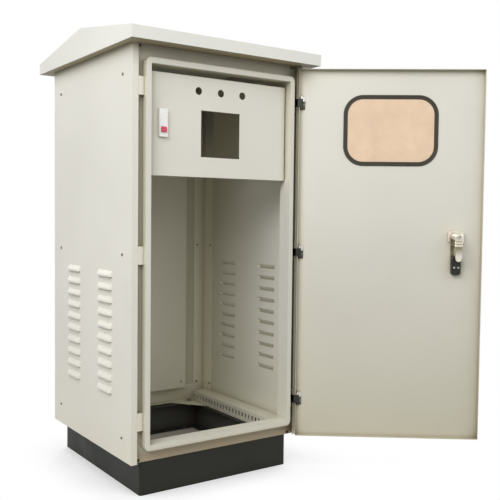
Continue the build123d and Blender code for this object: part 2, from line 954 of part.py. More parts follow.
with BuildPart() as latch_button:
    slab(
        (button_front, button_back),
        around(button_x, button_width),
        around(button_z, button_height),
        latch_corner_radius,
    )

with BuildPart() as latch_tongue:
    block((tongue_tip, tongue_end), around(tongue_y, tongue_thickness), around(latch_z, tongue_height))

# Door shell: a shallow tray with a window cut-out and hinge notches
window_z = door_top - window_below_door_top


def drawn_in(outer, inset):
    """The (x, z) outline outer with every side moved inwards by inset."""
    return tuple((low + inset, high - inset) for low, high in outer)


window_outline = (both_ways(window_width / 2), around(window_z, window_height))
window_cutout = drawn_in(window_outline, window_rubber_lap)
window_cutout_radius = window_corner_radius - window_rubber_lap
pane_inset = window_rubber_face - pane_bite
pane_outline = drawn_in(window_outline, pane_inset)
pane_y = around((door_outer + door_inner) / 2, pane_thickness)

with BuildPart() as door_shell:
    slab(
        (door_outer, door_rear),
        both_ways(door_half_width),
        (door_bottom, door_top),
        door_corner_radius,
    )
    block(
        both_ways(door_half_width - sheet),
        (door_inner, door_rear + overrun),
        (door_bottom + sheet, door_top - sheet),
        Mode.SUBTRACT,
    )
    slab(
        (door_outer - overrun, door_inner + overrun),
        *window_cutout,
        window_cutout_radius,
        Mode.SUBTRACT,
    )
    for z in hinge_heights.values():
        block(
            (door_half_width - sheet - overrun, door_half_width + overrun),
            (pivot_y - hinge_notch_corner, door_rear + overrun),
            around(z, hinge_notch_height),
            Mode.SUBTRACT,
        )
    rod(
        (lock_x, door_outer - overrun, lock_z),
        (lock_x, door_inner + overrun, lock_z),
        spindle_diameter / 2 + hole_gap,
        Mode.SUBTRACT,
    )

# Window: a clear pane held in the door sheet by a rubber with two grooves
with BuildPart() as window_rubber:
    ring(
        (door_outer - window_rubber_proud, door_inner + window_rubber_proud),
        window_outline,
        drawn_in(window_outline, window_rubber_face),
        window_corner_radius,
        window_corner_radius - window_rubber_face,
    )
    ring(
        (door_outer, door_inner),
        drawn_in(window_outline, -overrun),
        window_cutout,
        window_corner_radius,
        window_cutout_radius,
        Mode.SUBTRACT,
    )
    slab(pane_y, *pane_outline, window_corner_radius - pane_inset, Mode.SUBTRACT)

with BuildPart() as window_pane:
    slab(pane_y, *pane_outline, window_corner_radius - pane_inset)

# Hinges: an arm from the lug into the door's edge, a leaf on the door's inner face and a pin
foot_left = gutter_middle - lug_width / 2
arm_x = pivot_x - arm_reach
leaf_y = (door_inner, door_inner + arm_thickness)


def hinge_arm(z):
    """The cabinet's half of the hinge at the height z: foot, cranked arm and middle barrel."""
    block((foot_left, foot_left + arm_foot_width), (front - arm_thickness, front), around(z, arm_foot_height))
    block(around(arm_x, arm_thickness), (pivot_y - arm_thickness / 2, front), around(z, arm_height))
    block((arm_x - arm_thickness / 2, pivot_x), around(pivot_y, arm_thickness), around(z, arm_height))
    low, high = around(z, arm_height)
    rod((pivot_x, pivot_y, low), (pivot_x, pivot_y, high), barrel_radius)
    hinge_bore(z)
    for side in both_ways(hinge_screw_spacing / 2):
        rod(
            (hinge_screw_x, front - arm_thickness - overrun, z + side),
            (hinge_screw_x, front + overrun, z + side),
            hinge_screw_diameter / 2 + hole_gap,
            Mode.SUBTRACT,
        )


def hinge_bore(z):
    """The hole for the hinge pin, through the whole height of the hinge at the height z."""
    low, high = around(z, hinge_height + 2 * overrun)
    rod((pivot_x, pivot_y, low), (pivot_x, pivot_y, high), hinge_pin_diameter / 2 + pin_gap, Mode.SUBTRACT)


def hinge_leaf(z):
    """The door's half of the hinge at the height z: a plate with a barrel at either end."""
    block((pivot_x - leaf_width, pivot_x - leaf_relief), leaf_y, around(z, hinge_height))
    middle_half = arm_height / 2 + barrel_gap
    for low, high in (
        (z - hinge_height / 2, z - middle_half),
        (z + middle_half, z + hinge_height / 2),
    ):
        block((pivot_x - leaf_relief, pivot_x), leaf_y, (low, high))
        rod((pivot_x, pivot_y, low), (pivot_x, pivot_y, high), barrel_radius)
    hinge_bore(z)


def hinge_pin(z):
    """The headed pin of the hinge at the height z."""
    low, high = around(z, hinge_height)
    rod((pivot_x, pivot_y, low), (pivot_x, pivot_y, high), hinge_pin_diameter / 2)
    rod(
        (pivot_x, pivot_y, high),
        (pivot_x, pivot_y, high + hinge_pin_head_height),
        hinge_pin_head_diameter / 2,
    )


arms = {}
leaves = {}
pins = {}
for place, hinge_z in hinge_heights.items():
    with BuildPart() as arm:
        hinge_arm(hinge_z)
    with BuildPart() as leaf:
        hinge_leaf(hinge_z)
    with BuildPart() as pin:
        hinge_pin(hinge_z)
    arms[f"hinge_arm_{place}"] = arm.part
    leaves[f"hinge_leaf_{place}"] = leaf.part
    pins[f"hinge_pin_{place}"] = pin.part

with BuildPart() as hinge_screws:
    for hinge_z in hinge_heights.values():
        for side in both_ways(hinge_screw_spacing / 2):
            head_y = front - arm_thickness
            z = hinge_z + side
            rod(
                (hinge_screw_x, head_y, z),
                (hinge_screw_x, head_y - hinge_screw_head_height, z),
                hinge_screw_head_diameter / 2,
            )
            rod(
                (hinge_screw_x, head_y, z),
                (hinge_screw_x, front + heavy_sheet + hinge_screw_diameter, z),
                hinge_screw_diameter / 2,
            )

# Door lock: boss, strap and clamp inside the door, a plate outside it, and the turning set
boss_face = door_inner + boss_thickness
neck_end = cam_front - boss_neck_gap
clamp_z = lock_z - clamp_below_spindle
clamp_face = door_inner + clamp_depth
clamp_screw_z = clamp_z - clamp_screw_below_middle
plate_face = door_outer - escutcheon_thickness
hub_back = plate_face - fit_gap
hub_front = hub_back - handle_hub_height
spindle_start = hub_back - handle_hub_height / 2
spindle_end = cam_back + cam_nut_height
bore_radius = spindle_diameter / 2 + pin_gap
strap_edge = lock_x + boss_width / 2 - strap_edge_inset


def spindle_bore(start, end):
    """The round hole for the spindle between the depths start and end."""
    rod((lock_x, start, lock_z), (lock_x, end, lock_z), bore_radius, Mode.SUBTRACT)


with BuildPart() as lock_boss:
    slab(
        (door_inner, boss_face),
        around(lock_x, boss_width),
        around(lock_z, boss_height),
        boss_corner_radius,
    )
    rod((lock_x, boss_face, lock_z), (lock_x, neck_end, lock_z), boss_neck_diameter / 2)
    spindle_bore(door_inner, neck_end)

with BuildPart() as lock_strap:
    block(
        (strap_edge - strap_width, strap_edge),
        (door_inner, door_inner + strap_thickness),
        (clamp_z + clamp_height / 2, lock_z - boss_height / 2),
    )

with BuildPart() as lock_clamp:
    slab(
        (door_inner, clamp_face),
        around(lock_x, clamp_width),
        around(clamp_z, clamp_height),
        clamp_corner_radius,
    )
    fillet(lock_clamp.edges().group_by(Axis.Y)[-1], clamp_edge_radius)
    for x in around(lock_x, clamp_screw_spacing):
        rod(
            (x, door_inner, clamp_screw_z),
            (x, clamp_face, clamp_screw_z),
            clamp_screw_shank / 2 + hole_gap,
            Mode.SUBTRACT,
        )

with BuildPart() as clamp_screws:
    for x in around(lock_x, clamp_screw_spacing):
        rod(
            (x, clamp_face, clamp_screw_z),
            (x, clamp_face + clamp_screw_height, clamp_screw_z),
            clamp_screw_diameter / 2,
        )
        rod((x, door_inner, clamp_screw_z), (x, clamp_face, clamp_screw_z), clamp_screw_shank / 2)

with BuildPart() as lock_plate:
    slab(
        (plate_face, door_outer),
        around(lock_x, escutcheon_width),
        around(lock_z - escutcheon_below_spindle, escutcheon_height),
        escutcheon_corner_radius,
    )
    fillet(lock_plate.edges().group_by(Axis.Y)[0], escutcheon_edge_radius)
    spindle_bore(plate_face, door_outer)

with BuildPart() as lock_handle:
    with BuildSketch(upright(hub_front)):
        with Locations((lock_x, lock_z)):
            Circle(handle_width / 2)
        with Locations((lock_x, lock_z - handle_length + handle_tip_width / 2)):
            Circle(handle_tip_width / 2)
        make_hull()
    extrude(amount=-handle_thickness)
    rod((lock_x, hub_front, lock_z), (lock_x, hub_back, lock_z), handle_hub_diameter / 2)
    fillet(lock_handle.edges().group_by(Axis.Y)[0], handle_edge_radius)
    spindle_bore(spindle_start, hub_back)

with BuildPart() as lock_spindle:
    rod((lock_x, spindle_start, lock_z), (lock_x, spindle_end, lock_z), spindle_diameter / 2)

with BuildPart() as lock_cam:
    with BuildSketch(upright(cam_front)):
        with Locations((lock_x, lock_z - (cam_reach - cam_width / 2) / 2)):
            SlotCenterToCenter(cam_reach - cam_width / 2, cam_width, rotation=90)
    extrude(amount=-cam_thickness)
    spindle_bore(cam_front, cam_back)

with BuildPart() as cam_nut:
    hexagon((lock_x, cam_back, lock_z), (lock_x, spindle_end, lock_z), cam_nut_size)
    spindle_bore(cam_back, spindle_end)

# The pieces by name: the door's own are swung open about the hinge pins
cabinet_pieces = {
    "plinth": plinth.part,
    "plinth_bolts": plinth_bolts.part,
    "plinth_nuts": plinth_nuts.part,
    "front_frame": front_frame.part,
    "hinge_lugs_left": hinge_lugs_left.part,
    "hinge_lugs_right": hinge_lugs_right.part,
    "rear_post_left": rear_post_left.part,
    "rear_post_right": rear_post_right.part,
    "rear_rail_bottom": rear_rail_bottom.part,
    "rear_rail_top": rear_rail_top.part,
    "side_rail_left": side_rail_left.part,
    "side_rail_right": side_rail_right.part,
    "floor_gusset_left": floor_gusset_left.part,
    "floor_gusset_right": floor_gusset_right.part,
    "top_rail_left": top_rail_left.part,
    "top_rail_right": top_rail_right.part,
    "side_panel_left": side_panel_left.part,
    "side_panel_right": side_panel_right.part,
    "side_screws_left": side_screws_left.part,
    "side_screws_right": side_screws_right.part,
    "back_panel": back_panel.part,
    "back_screws": back_screws.part,
    "top_panel": top_panel.part,
    "roof": roof.part,
    "roof_bearer_left": roof_bearer_left.part,
    "roof_bearer_right": roof_bearer_right.part,
    "roof_bolts": roof_bolts.part,
    "roof_nuts": roof_nuts.part,
    "plate_bar_left": plate_bar_left.part,
    "plate_bar_right": plate_bar_right.part,
    "mounting_plate": mounting_plate.part,
    "plate_bolts": plate_bolts.part,
    "instrument_panel": instrument_panel.part,
    "pivot_brackets": pivot_brackets.part,
    "pivot_pins": pivot_pins.part,
    "latch_housing": latch_housing.part,
    "latch_button": latch_button.part,
    "latch_tongue": latch_tongue.part,
    "hinge_screws": hinge_screws.part,
    **arms,
}
door_pieces = {
    "door_shell": door_shell.part,
    "window_rubber": window_rubber.part,
    "window_pane": window_pane.part,
    "lock_boss": lock_boss.part,
    "lock_strap": lock_strap.part,
    "lock_clamp": lock_clamp.part,
    "clamp_screws": clamp_screws.part,
    "lock_plate": lock_plate.part,
    "lock_handle": lock_handle.part,
    "lock_spindle": lock_spindle.part,
    "lock_cam": lock_cam.part,
    "cam_nut": cam_nut.part,
    **leaves,
    **pins,
}
pieces = dict(cabinet_pieces)
for name, piece in door_pieces.items():
    pieces[name] = piece.rotate(door_axis, door_open_angle)

os.makedirs("parts", exist_ok=True)
for name, piece in pieces.items():
    piece.label = name
    export_step(piece, f"parts/{name}.step")
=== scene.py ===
"""Looks of the outdoor utility cabinet: finishes, rounded trim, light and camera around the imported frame."""
import json
from math import cos, pi, radians, sin

import bmesh
import bpy
from mathutils import Matrix, Vector


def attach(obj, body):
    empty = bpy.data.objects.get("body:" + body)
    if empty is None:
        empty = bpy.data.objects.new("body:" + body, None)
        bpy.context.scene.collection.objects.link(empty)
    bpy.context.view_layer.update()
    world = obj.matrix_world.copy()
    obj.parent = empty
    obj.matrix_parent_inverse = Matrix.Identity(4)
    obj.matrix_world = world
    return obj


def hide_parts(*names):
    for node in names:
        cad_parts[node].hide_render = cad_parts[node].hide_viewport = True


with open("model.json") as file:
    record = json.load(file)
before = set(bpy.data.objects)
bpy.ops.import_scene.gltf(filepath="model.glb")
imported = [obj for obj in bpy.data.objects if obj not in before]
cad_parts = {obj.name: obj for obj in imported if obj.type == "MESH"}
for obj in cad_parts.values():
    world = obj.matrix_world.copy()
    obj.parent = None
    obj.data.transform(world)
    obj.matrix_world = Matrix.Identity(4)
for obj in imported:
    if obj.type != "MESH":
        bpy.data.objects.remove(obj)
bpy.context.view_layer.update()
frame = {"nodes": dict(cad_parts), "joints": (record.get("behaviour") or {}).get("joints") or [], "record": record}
scene = bpy.context.scene
nodes = frame["nodes"]

# Camera: its place and angles were fitted to the photo's straight edges
camera_place = (-1.24665, -2.23863, 0.82105)
camera_yaw = 0.60873
camera_pitch = -0.04732
camera_roll = 0.01107
focal_pixels = 759.58
photo_pixels = 500
sensor_mm = 36

# Light: one broad lamp in front and above, weaker ones from the right and behind, and an even sky
sky_strength = 0.54
key_power = 122
key_size = 2.6
key_place = (-2.7, -1.9, 2.9)
fill_power = 30
fill_size = 2.4
fill_place = (1.6, -3.4, 2.6)
rear_power = 38
rear_size = 2.4
rear_place = (0.3, 3.5, 2.4)
target_place = (0.1, -0.2, 0.7)
floor_reach = 30
floor_shade_reach = 0.3
ground_height = 0.0004
ground_inset = 0.004

# Window rubber: its face's width and its outline from the outer edge in, as shares of the half thickness
rubber_face = 0.0135
rubber_corner_radius = 0.063
rubber_corner_steps = 16
rubber_profile_shares = [
    (0.0, 0.45), (0.05, 0.8), (0.16, 0.98), (0.36, 0.97), (0.45, 0.74),
    (0.55, 0.74), (0.64, 0.97), (0.82, 0.96), (0.95, 0.76), (1.0, 0.42),
]

# Cross-recess screws: outline and recess as shares of the head's radius and height
screw_dome_shares = [(0, 1), (0.3, 0.99), (0.6, 0.92), (0.82, 0.74), (0.95, 0.45), (1, 0.12), (1, 0)]
screw_segments = 32
recess_reach_share = 0.6
recess_width_share = 0.2
recess_depth_share = 0.6
shank_share = 0.57
screw_spin = 0.7
panel_head = 0.003
hinge_head = 0.0025
clamp_head = 0.002

# Lock cam: half width and thickness along it, as shares of its own, from the spindle's end to the tip
cam_shares = [
    (0.0, 0.10, 0.30), (0.02, 0.50, 0.72), (0.06, 0.80, 0.95), (0.14, 1.0, 1.0), (0.27, 0.98, 1.0),
    (0.30, 0.88, 0.80), (0.32, 0.97, 1.15), (0.36, 0.97, 1.15), (0.38, 0.84, 0.80), (0.40, 0.84, 0.80),
    (0.42, 0.93, 1.10), (0.46, 0.93, 1.10), (0.48, 0.78, 0.74), (0.56, 0.77, 0.80), (0.84, 0.82, 0.98),
    (0.91, 0.75, 0.95), (0.955, 0.60, 0.82), (0.985, 0.36, 0.60), (1.0, 0.08, 0.30),
]
cam_ring_steps = 28
cam_squareness = 0.55

# Lock cam's painted shade in the grooves along it: place from the spindle's end and share of the full brightness
cam_groove_shade_shares = [
    (0.0, 1.0), (0.26, 1.0), (0.30, 0.35), (0.33, 1.0), (0.36, 1.0), (0.39, 0.25),
    (0.42, 1.0), (0.46, 0.95), (0.49, 0.1), (0.56, 0.3), (0.82, 1.0), (1.0, 1.0),
]

# Hinge leaf's painted glint along it, from its top: a painted bright glint above and dark below
leaf_glint_shares = [(0.0, 1.0), (0.32, 0.9), (0.42, 0.02), (0.6, 0.16), (0.8, 0.08), (1.0, 0.0)]

# Small edge roundings on CAD pieces
weld_distance = 0.00001
soften_angle = 40
softened = {
    "lock_boss": 0.004, "lock_strap": 0.0015, "cam_nut": 0.002,
    "latch_housing": 0.0008, "latch_button": 0.001,
}

# Colours, linear
body_grey = (0.70, 0.69, 0.62)
door_grey = (0.665, 0.655, 0.59)
frame_grey = (0.655, 0.645, 0.575)
# Painted light: the body paint lightened for the inside steelwork
inner_lit_grey = (0.88, 0.87, 0.78)
roof_grey = (0.735, 0.735, 0.685)
plinth_black = (0.012, 0.012, 0.009)
rubber_black = (0.042, 0.036, 0.027)
hinge_black = (0.045, 0.045, 0.04)
# Painted glint on the top of the hinge leaves
leaf_glint_grey = (0.62, 0.61, 0.57)
chrome_warm = (0.74, 0.69, 0.58)
zinc_grey = (0.42, 0.41, 0.38)
screw_grey = (0.20, 0.19, 0.17)
clamp_black = (0.015, 0.016, 0.014)
latch_white = (0.82, 0.82, 0.80)
latch_red = (0.62, 0.035, 0.085)
pane_amber = (0.86, 0.67, 0.49)
floor_grey = (0.32, 0.31, 0.29)
floor_shade_share = 0.3
# Painted shade: the ground under the plinth, dark brown to the eye
ground_shade_brown = (0.155, 0.14, 0.115)
# Painted shade in corners and hollows
crevice_shade_tint = (0.38, 0.34, 0.26)
# Painted warm shade deep inside the cabinet
inside_shade_tint = (1.0, 0.95, 0.78)
# Painted shade under the roof's eaves
eaves_shade_tint = (0.52, 0.47, 0.36)
# Painted shade low on the door, darker towards the bottom
door_foot_shade_tint = (0.78, 0.76, 0.70)
# Painted shade under the frame's lip
frame_lip_shade_tint = (0.62, 0.53, 0.43)
inner_shade_tint = (0.58, 0.60, 0.66)
# Painted light on the plinth's inward faces, lighter and bluer
plinth_inner_light_tint = (9.0, 9.3, 12.5)
# Painted shade in the lock cam's grooves
groove_shade_tint = (0.22, 0.20, 0.10)
# Dark below the painted glint on the hinge leaves
leaf_under_glint_tint = (0.05, 0.05, 0.045)
# Painted shade in the frame's corners and hollows, lighter than elsewhere
frame_crevice_shade_tint = (0.52, 0.50, 0.43)

# Reach of the painted shade in corners and of the painted warm shade inside, in metres
crevice_shade_reach = 0.06
inside_shade_reach = 0.45

# Shares of open sky between which a hollow goes from darkest to clear
crevice_shade_sky_shares = (0.18, 0.66)
inside_shade_sky_shares = (0.0, 1.0)
floor_sky_shares = (0.1, 0.62)

# Heights in metres between which the painted shade low on the door and under the frame's lip thins out
door_shade_heights = (0.1, 1.0)
frame_lip_shade_heights = (0.12, 0.145)

# Heights in metres between which the inside darkens towards its top
inner_shade = (1.15, 1.0)

# Outward turn of a face between which the plinth goes from its inside, with painted light, to its outside
plinth_light_turn = (-0.01, 0.01)

# Upward turn of a face between which the roof goes from its painted shade underneath to its plain sheet
eaves_shade_turn = (-0.9, -0.4)

# Shaders: white, the middle range and the detail of a noise, samples, and the sockets of a colour mix
white = (1, 1, 1)
noise_middle = (0.3, 0.7)
fine_detail = 3.0
smooth_detail = 1.0
shader_samples = 4
mix_factor, mix_first, mix_second, mix_result = 0, 6, 7, 2

# Powder coat: clouds, gloss and orange peel; scales count patches in a metre, depths and edges are in metres
cloud_scale = 2.6
cloud_detail = 4.0
cloud_shares = (0.965, 1.03)
paint_gloss_scale = 9.0
paint_gloss_reach = (-0.05, 0.07)
peel_scale = 420
peel_depth = 0.0004
peel_strength = 0.16
paint_edge = 0.0012
plinth_edge = 0.0015

# Plated metal: tone, gloss and grain, whose scales are multiples of the streak's
metal_streak = 60
chrome_streak = 30
metal_shares = (0.88, 1.05)
metal_gloss_shares = (0.75, 1.3)
metal_gloss_multiple = 3
metal_grain_multiple = 8
metal_depth = 0.0002
metal_strength = 0.08
metal_edge = 0.0006

# Moulded plastic and rubber: tone, gloss and grain
mould_scale = 35
mould_shares = (0.9, 1.08)
mould_gloss_scale = 60
mould_gloss_reach = (-0.06, 0.06)
mould_depth = 0.0003
mould_edge = 0.0008

# Window pane: blotches of its tint, gloss, clearness and waviness
blotch_scale = 16
blotch_detail = 5.0
blotch_roughness = 0.62
blotch_shares = (0.93, 1.08)
pane_gloss_scale = 30
pane_gloss = (0.16, 0.26)
pane_clearness = 0.55
pane_index = 1.49
wave_scale = 8
wave_depth = 0.0004
wave_strength = 0.05

# Floor's own finish
floor_roughness = 0.9
floor_specular = 0.1


def new_material(name):
    """An empty node material with its output and a principled shader, both returned with the tree."""
    material = bpy.data.materials.new(name)
    material.use_nodes = True
    tree = material.node_tree
    tree.nodes.clear()
    output = tree.nodes.new("ShaderNodeOutputMaterial")
    shader = tree.nodes.new("ShaderNodeBsdfPrincipled")
    tree.links.new(shader.outputs["BSDF"], output.inputs["Surface"])
    return material, tree, shader


def noise(tree, scale, detail=2.0, roughness=0.5):
    """A noise texture on the object's own coordinates."""
    place = tree.nodes.new("ShaderNodeTexCoord")
    texture = tree.nodes.new("ShaderNodeTexNoise")
    texture.inputs["Scale"].default_value = scale
    texture.inputs["Detail"].default_value = detail
    texture.inputs["Roughness"].default_value = roughness
    tree.links.new(place.outputs["Object"], texture.inputs["Vector"])
    return texture.outputs["Fac"]


def spread(tree, value, low, high):
    """The value's middle range stretched to run from low to high."""
    stretch = tree.nodes.new("ShaderNodeMapRange")
    stretch.inputs["From Min"].default_value = noise_middle[0]
    stretch.inputs["From Max"].default_value = noise_middle[1]
    stretch.inputs["To Min"].default_value = low
    stretch.inputs["To Max"].default_value = high
    tree.links.new(value, stretch.inputs["Value"])
    return stretch.outputs["Result"]


def two_tone(tree, value, dark, light):
    """A colour between dark and light, mixed by the value."""
    mix = tree.nodes.new("ShaderNodeMix")
    mix.data_type = "RGBA"
    mix.inputs[mix_first].default_value = (*dark, 1)
    mix.inputs[mix_second].default_value = (*light, 1)
    tree.links.new(value, mix.inputs[mix_factor])
    return mix.outputs[mix_result]


def scaled(colour, factor):
    """The colour made lighter or darker by the factor."""
    return tuple(min(1.0, channel * factor) for channel in colour)


def uneven(tree, colour, shares, scale, detail=fine_detail, roughness=0.5):
    """The colour in soft patches of the scale, darker and lighter by the two shares."""
    patch = spread(tree, noise(tree, scale, detail, roughness), 0, 1)
    darkest, lightest = (scaled(colour, share) for share in shares)
    return two_tone(tree, patch, darkest, lightest)


def ramp(tree, value, start, end):
    """The value brought to run from 0 at start to 1 at end."""
    reach = tree.nodes.new("ShaderNodeMapRange")
    reach.inputs["From Min"].default_value = start
    reach.inputs["From Max"].default_value = end
    tree.links.new(value, reach.inputs["Value"])
    return reach.outputs["Result"]


def tinted(tree, colour, value, dark):
    """The colour times the tint dark where the value is 0, and unchanged where it is 1."""
    mix = tree.nodes.new("ShaderNodeMix")
    mix.data_type = "RGBA"
    mix.blend_type = "MULTIPLY"
    mix.inputs[mix_factor].default_value = 1
    tree.links.new(colour, mix.inputs[mix_first])
    tree.links.new(two_tone(tree, value, dark, white), mix.inputs[mix_second])
    return mix.outputs[mix_result]


def open_sky(tree, reach, shares):
    """0 deep in a hollow and 1 in the open, judged by what stands within reach."""
    occlusion = tree.nodes.new("ShaderNodeAmbientOcclusion")
    occlusion.samples = shader_samples
    occlusion.inputs["Distance"].default_value = reach
    return ramp(tree, occlusion.outputs["AO"], *shares)


def axis_share(tree, source, output):
    """The upward part of a vector output of a new node of the kind source."""
    split = tree.nodes.new("ShaderNodeSeparateXYZ")
    tree.links.new(tree.nodes.new(source).outputs[output], split.inputs["Vector"])
    return split.outputs["Z"]


def banded(tree, top, bottom, stops):
    """The brightness along a piece from its top to its bottom, by stops of place and brightness."""
    band = tree.nodes.new("ShaderNodeValToRGB")
    elements = band.color_ramp.elements
    for share, _ in stops[1:-1]:
        elements.new(share)
    for element, (_, brightness) in zip(elements, stops):
        element.color = (brightness, brightness, brightness, 1)
    height = axis_share(tree, "ShaderNodeTexCoord", "Object")
    tree.links.new(ramp(tree, height, top, bottom), band.inputs["Fac"])
    return band.outputs["Color"]


def outward_turn(tree):
    """Below 0 on faces that look at the middle of the cabinet and above 0 on those that look away."""
    product = tree.nodes.new("ShaderNodeVectorMath")
    product.operation = "DOT_PRODUCT"
    place = tree.nodes.new("ShaderNodeTexCoord")
    facing = tree.nodes.new("ShaderNodeNewGeometry")
    tree.links.new(place.outputs["Object"], product.inputs[0])
    tree.links.new(facing.outputs["True Normal"], product.inputs[1])
    return product.outputs["Value"]


def bump(tree, shader, value, distance, strength, edge=0.0):
    """Relief from the value on the shader, over edges that are rounded by edge."""
    relief = tree.nodes.new("ShaderNodeBump")
    relief.inputs["Strength"].default_value = strength
    relief.inputs["Distance"].default_value = distance
    tree.links.new(value, relief.inputs["Height"])
    if edge:
        rounding = tree.nodes.new("ShaderNodeBevel")
        rounding.samples = shader_samples
        rounding.inputs["Radius"].default_value = edge
        tree.links.new(rounding.outputs["Normal"], relief.inputs["Normal"])
    tree.links.new(relief.outputs["Normal"], shader.inputs["Normal"])


def powder_coat(name, colour, roughness=0.36, edge=paint_edge, specular=0.5,
                crevice_shade=crevice_shade_tint, eaves_shade=False, height_shade=None, inner_light=None):
    """Powder-coated sheet: clouds, orange peel, painted shade in corners, under eaves or by height, a painted warm
    shade inside, and painted light on inward faces where given.
    """
    material, tree, shader = new_material(name)
    tone = uneven(tree, colour, cloud_shares, cloud_scale, cloud_detail)
    # Painted shade in corners and hollows
    tone = tinted(tree, tone, open_sky(tree, crevice_shade_reach, crevice_shade_sky_shares), crevice_shade)
    # Painted warm shade deep inside
    tone = tinted(tree, tone, open_sky(tree, inside_shade_reach, inside_shade_sky_shares), inside_shade_tint)
    # Painted shade on faces that look down
    if eaves_shade:
        upward = axis_share(tree, "ShaderNodeNewGeometry", "True Normal")
        tone = tinted(tree, tone, ramp(tree, upward, *eaves_shade_turn), eaves_shade_tint)
    # Painted shade by height
    if height_shade:
        heights, height_shade_tint = height_shade
        height = axis_share(tree, "ShaderNodeTexCoord", "Object")
        tone = tinted(tree, tone, ramp(tree, height, *heights), height_shade_tint)
    # Painted light on faces that look inward
    if inner_light:
        tone = tinted(tree, tone, ramp(tree, outward_turn(tree), *plinth_light_turn), inner_light)
    tree.links.new(tone, shader.inputs["Base Color"])
    low, high = (roughness + reach for reach in paint_gloss_reach)
    gloss = spread(tree, noise(tree, paint_gloss_scale, fine_detail), low, high)
    tree.links.new(gloss, shader.inputs["Roughness"])
    shader.inputs["Specular IOR Level"].default_value = specular
    bump(tree, shader, noise(tree, peel_scale), peel_depth, peel_strength, edge)
    return material


def plated(name, colour, roughness, streak=metal_streak, painted_light_bands=None, tint=groove_shade_tint):
    """Plated metal with a finely uneven gloss, with bands of painted shade and glint across it where they are
    given.
    """
    material, tree, shader = new_material(name)
    tone = uneven(tree, colour, metal_shares, streak)
    if painted_light_bands:
        tone = tinted(tree, tone, banded(tree, *painted_light_bands), tint)
    tree.links.new(tone, shader.inputs["Base Color"])
    shader.inputs["Metallic"].default_value = 1
    low, high = (roughness * share for share in metal_gloss_shares)
    gloss = spread(tree, noise(tree, streak * metal_gloss_multiple), low, high)
    tree.links.new(gloss, shader.inputs["Roughness"])
    bump(tree, shader, noise(tree, streak * metal_grain_multiple), metal_depth, metal_strength, metal_edge)
    return material


def moulded(name, colour, roughness, grain=500, relief=0.12, specular=0.5):
    """Moulded plastic or rubber with a fine grain."""
    material, tree, shader = new_material(name)
    tree.links.new(uneven(tree, colour, mould_shares, mould_scale), shader.inputs["Base Color"])
    low, high = (roughness + reach for reach in mould_gloss_reach)
    tree.links.new(spread(tree, noise(tree, mould_gloss_scale), low, high), shader.inputs["Roughness"])
    shader.inputs["Specular IOR Level"].default_value = specular
    bump(tree, shader, noise(tree, grain), mould_depth, relief, mould_edge)
    return material


def tinted_pane(name, colour):
    """A clear pane with an amber tint that is a little uneven, as film on the back of it is."""
    material, tree, shader = new_material(name)
    tone = uneven(tree, colour, blotch_shares, blotch_scale, blotch_detail, blotch_roughness)
    tree.links.new(tone, shader.inputs["Base Color"])
    tree.links.new(spread(tree, noise(tree, pane_gloss_scale), *pane_gloss), shader.inputs["Roughness"])
    shader.inputs["Transmission Weight"].default_value = pane_clearness
    shader.inputs["IOR"].default_value = pane_index
    bump(tree, shader, noise(tree, wave_scale, smooth_detail), wave_depth, wave_strength)
    return material


finishes = {
    "body_paint": powder_coat("body_paint", body_grey),
    "roof_paint": powder_coat("roof_paint", roof_grey, roughness=0.5, specular=0.3, eaves_shade=True),
    "plinth_paint": powder_coat(
        "plinth_paint", plinth_black, roughness=0.55, edge=plinth_edge, specular=0.3, inner_light=plinth_inner_light_tint
    ),
    "zinc_steel": plated("zinc_steel", zinc_grey, roughness=0.38),
    "hinge_steel": plated("hinge_steel", hinge_black, roughness=0.24),
    "lock_chrome": plated("lock_chrome", chrome_warm, roughness=0.16, streak=chrome_streak),
    "lock_black": moulded("lock_black", clamp_black, roughness=0.28, specular=0.3),
    "window_rubber": moulded(
        "window_rubber", rubber_black, roughness=0.62, grain=900, relief=0.2, specular=0.3
    ),
    "window_pane": tinted_pane("window_pane", pane_amber),
    "latch_white": moulded("latch_white", latch_white, roughness=0.3, grain=800, relief=0.05),
    "latch_red": moulded("latch_red", latch_red, roughness=0.3, grain=800, relief=0.05),
}
panel_screw_steel = plated("panel_screw_steel", screw_grey, roughness=0.45)
# The door: painted shade darker towards its bottom
door_paint = powder_coat("door_paint", door_grey, height_shade=(door_shade_heights, door_foot_shade_tint))
# The frame: painted shade under its lip and a lighter painted shade in its corners
frame_paint = powder_coat(
    "frame_paint", frame_grey, height_shade=(frame_lip_shade_heights, frame_lip_shade_tint), crevice_shade=frame_crevice_shade_tint
)
# Inside steelwork: the body paint lightened as painted light, with painted shade towards the top
inner_lit_paint = powder_coat("inner_lit_paint", inner_lit_grey, height_shade=(inner_shade, inner_shade_tint))
inner_steelwork = (
    "mounting_plate", "plate_bar_left", "plate_bar_right", "rear_post_left", "rear_post_right",
    "rear_rail_bottom", "floor_gusset_left", "floor_gusset_right",
    "top_panel", "rear_rail_top", "top_rail_left", "top_rail_right",
)


def finish_node(name, material):
    """The material on every face of a CAD node."""
    slots = nodes[name].data.materials
    slots.clear()
    slots.append(material)


for subpart in frame["record"]["subparts"]:
    finish_node(subpart["node"], finishes[subpart["material_slot"]])
for name in ("side_screws_left", "side_screws_right", "back_screws"):
    finish_node(name, panel_screw_steel)
finish_node("door_shell", door_paint)
finish_node("front_frame", frame_paint)
finish_node("cam_nut", finishes["lock_chrome"])
for name in inner_steelwork:
    finish_node(name, inner_lit_paint)


# The door stands open in the frame; swing carries a piece from the shut door to it
hinge = next(joint for joint in frame["joints"] if joint["name"] == "door_hinge")
pivot = Vector(hinge["pos_m"])
open_angle = radians(-hinge["range_deg"][0])
swing = Matrix.Translation(pivot) @ Matrix.Rotation(open_angle, 4, "Z") @ Matrix.Translation(-pivot)


